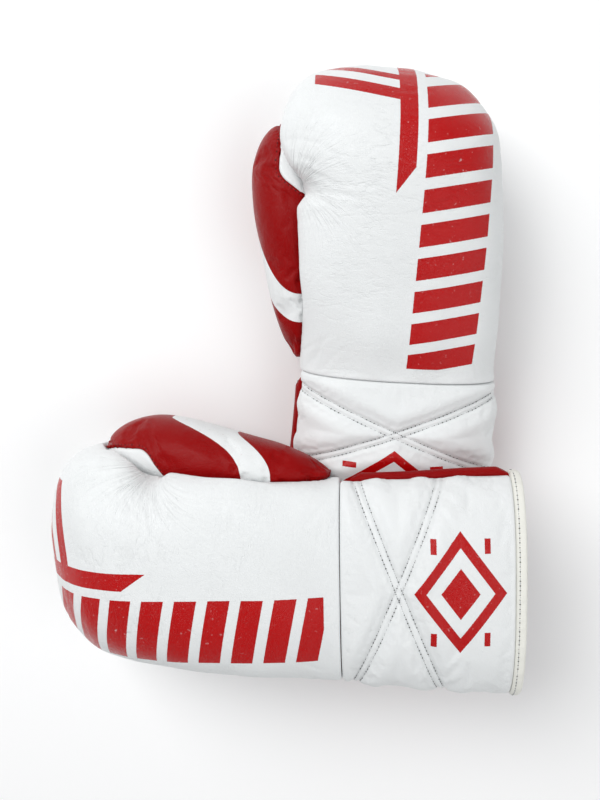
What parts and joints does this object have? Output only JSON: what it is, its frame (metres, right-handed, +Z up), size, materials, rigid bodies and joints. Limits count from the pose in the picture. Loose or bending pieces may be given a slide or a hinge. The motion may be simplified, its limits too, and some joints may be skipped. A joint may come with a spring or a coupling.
{
  "type": "lace-up boxing gloves",
  "caption": "White and red padded leather boxing gloves with laced cuffs, attached thumbs and a mitten fist, lying palm down with one cuff across the other.",
  "frame": {"origin": "middle of the pair's bounding box, on the surface that the gloves lie on", "axes": "+Z up out of the backs of the hands; the right glove's fist points along +Y and the left glove's along -X"},
  "size_m": [0.3454, 0.4496, 0.1395],
  "materials": {
    "white_leather": "smooth cowhide, semi-gloss, fine grain",
    "red_leather": "smooth cowhide, semi-gloss, fine grain",
    "thumb_leather": "red cowhide with a sewn white stripe, semi-gloss",
    "facing_leather": "doubled red cowhide with punched lace holes, semi-gloss",
    "gusset_leather": "soft red leather fold, semi-gloss",
    "tongue_leather": "soft white leather flap, satin",
    "binding": "cream leather edge binding, satin",
    "padding": "layered foam and felt padding, matt",
    "lining": "woven moisture-resistant lining, matt"
  },
  "bodies": {
    "right_hand": {"right_back_shell": "white_leather", "right_finger_shell": "white_leather", "right_palm_panel": "red_leather", "right_thumb_web": "white_leather", "right_knuckle_pad": "padding", "right_finger_pad": "padding", "right_palm_pad": "padding", "right_hand_lining": "lining", "right_grip_bar": "lining", "right_thumb_strap": "white_leather", "right_wrist_gusset": "gusset_leather"},
    "right_thumb": {"right_thumb_outer": "thumb_leather", "right_thumb_inner": "white_leather", "right_thumb_pad": "padding"},
    "right_cuff": {"right_cuff_cover": "white_leather", "right_cuff_pad": "padding", "right_cuff_lining": "lining", "right_cuff_binding": "binding"},
    "right_thumb_wing": {"right_thumb_wing_cover": "red_leather", "right_thumb_wing_pad": "padding", "right_thumb_wing_lining": "lining", "right_thumb_wing_facing": "facing_leather", "right_thumb_wing_binding": "binding"},
    "right_little_wing": {"right_little_wing_cover": "red_leather", "right_little_wing_pad": "padding", "right_little_wing_lining": "lining", "right_little_wing_facing": "facing_leather", "right_little_wing_binding": "binding"},
    "right_tongue": {"right_tongue": "tongue_leather"},
    "left_hand": {"left_back_shell": "white_leather", "left_finger_shell": "white_leather", "left_palm_panel": "red_leather", "left_thumb_web": "white_leather", "left_knuckle_pad": "padding", "left_finger_pad": "padding", "left_palm_pad": "padding", "left_hand_lining": "lining", "left_grip_bar": "lining", "left_thumb_strap": "white_leather", "left_wrist_gusset": "gusset_leather"},
    "left_thumb": {"left_thumb_outer": "thumb_leather", "left_thumb_inner": "white_leather", "left_thumb_pad": "padding"},
    "left_cuff": {"left_cuff_cover": "white_leather", "left_cuff_pad": "padding", "left_cuff_lining": "lining", "left_cuff_binding": "binding", "left_thumb_wing_cover": "red_leather", "left_thumb_wing_pad": "padding", "left_thumb_wing_lining": "lining", "left_thumb_wing_facing": "facing_leather", "left_thumb_wing_binding": "binding"},
    "left_little_wing": {"left_little_wing_cover": "red_leather", "left_little_wing_pad": "padding", "left_little_wing_lining": "lining", "left_little_wing_facing": "facing_leather", "left_little_wing_binding": "binding"},
    "left_tongue": {"left_tongue": "tongue_leather"}
  },
  "joints": [
    {"name": "right_wrist_flex", "type": "hinge", "parent": "right_hand", "child": "right_cuff", "pos_m": [0.0869, 0.00115, 0.05586], "axis": [0.9986, -0.0523, 0], "range_deg": [0, 12], "stiffness_Nm_per_rad": 6, "deforming": ["right_wrist_gusset"]},
    {"name": "right_thumb_spread", "type": "hinge", "parent": "right_hand", "child": "right_thumb", "pos_m": [0.01744, 0.01324, 0.0476], "axis": [-0.0084, -0.1604, 0.987], "range_deg": [0, 6], "stiffness_Nm_per_rad": 4, "deforming": ["right_thumb_strap"]},
    {"name": "right_thumb_wing_open", "type": "hinge", "parent": "right_cuff", "child": "right_thumb_wing", "pos_m": [0.00796, -0.05674, 0.04426], "axis": [0.0873, 0.9832, 0.1605], "range_deg": [0, 30], "stiffness_Nm_per_rad": 1},
    {"name": "right_little_wing_open", "type": "hinge", "parent": "right_cuff", "child": "right_little_wing", "pos_m": [0.16335, -0.06488, 0.04426], "axis": [0.0196, -0.9869, -0.1602], "range_deg": [0, 30], "stiffness_Nm_per_rad": 1},
    {"name": "right_tongue_lift", "type": "hinge", "parent": "right_cuff", "child": "right_tongue", "pos_m": [0.08649, -0.00667, 0.02925], "axis": [-0.9986, 0.0523, 0], "range_deg": [0, 10], "stiffness_Nm_per_rad": 0.5},
    {"name": "left_glove_lift", "type": "slide", "parent": "right_hand", "child": "left_hand", "axis": [0, 0, 1], "range_m": [0, 0.2]},
    {"name": "left_wrist_flex", "type": "hinge", "parent": "left_hand", "child": "left_cuff", "pos_m": [0.04367, -0.14415, 0.09819], "axis": [0.0175, -0.9998, 0], "range_deg": [0, 12], "stiffness_Nm_per_rad": 6, "deforming": ["left_wrist_gusset"]},
    {"name": "left_thumb_spread", "type": "hinge", "parent": "left_hand", "child": "left_thumb", "pos_m": [0.03623, -0.07427, 0.08816], "axis": [0.0801, 0.0014, -0.9968], "range_deg": [0, 6], "stiffness_Nm_per_rad": 4, "deforming": ["left_thumb_strap"]},
    {"name": "left_little_wing_open", "type": "hinge", "parent": "left_cuff", "child": "left_little_wing", "pos_m": [0.10797, -0.22284, 0.10175], "axis": [-0.9953, 0.0539, -0.0799], "range_deg": [0, 25], "stiffness_Nm_per_rad": 1},
    {"name": "left_tongue_lift", "type": "hinge", "parent": "left_cuff", "child": "left_tongue", "pos_m": [0.05763, -0.14391, 0.07424], "axis": [0.0175, -0.9998, 0], "range_deg": [0, 10], "stiffness_Nm_per_rad": 0.5}
  ]
}
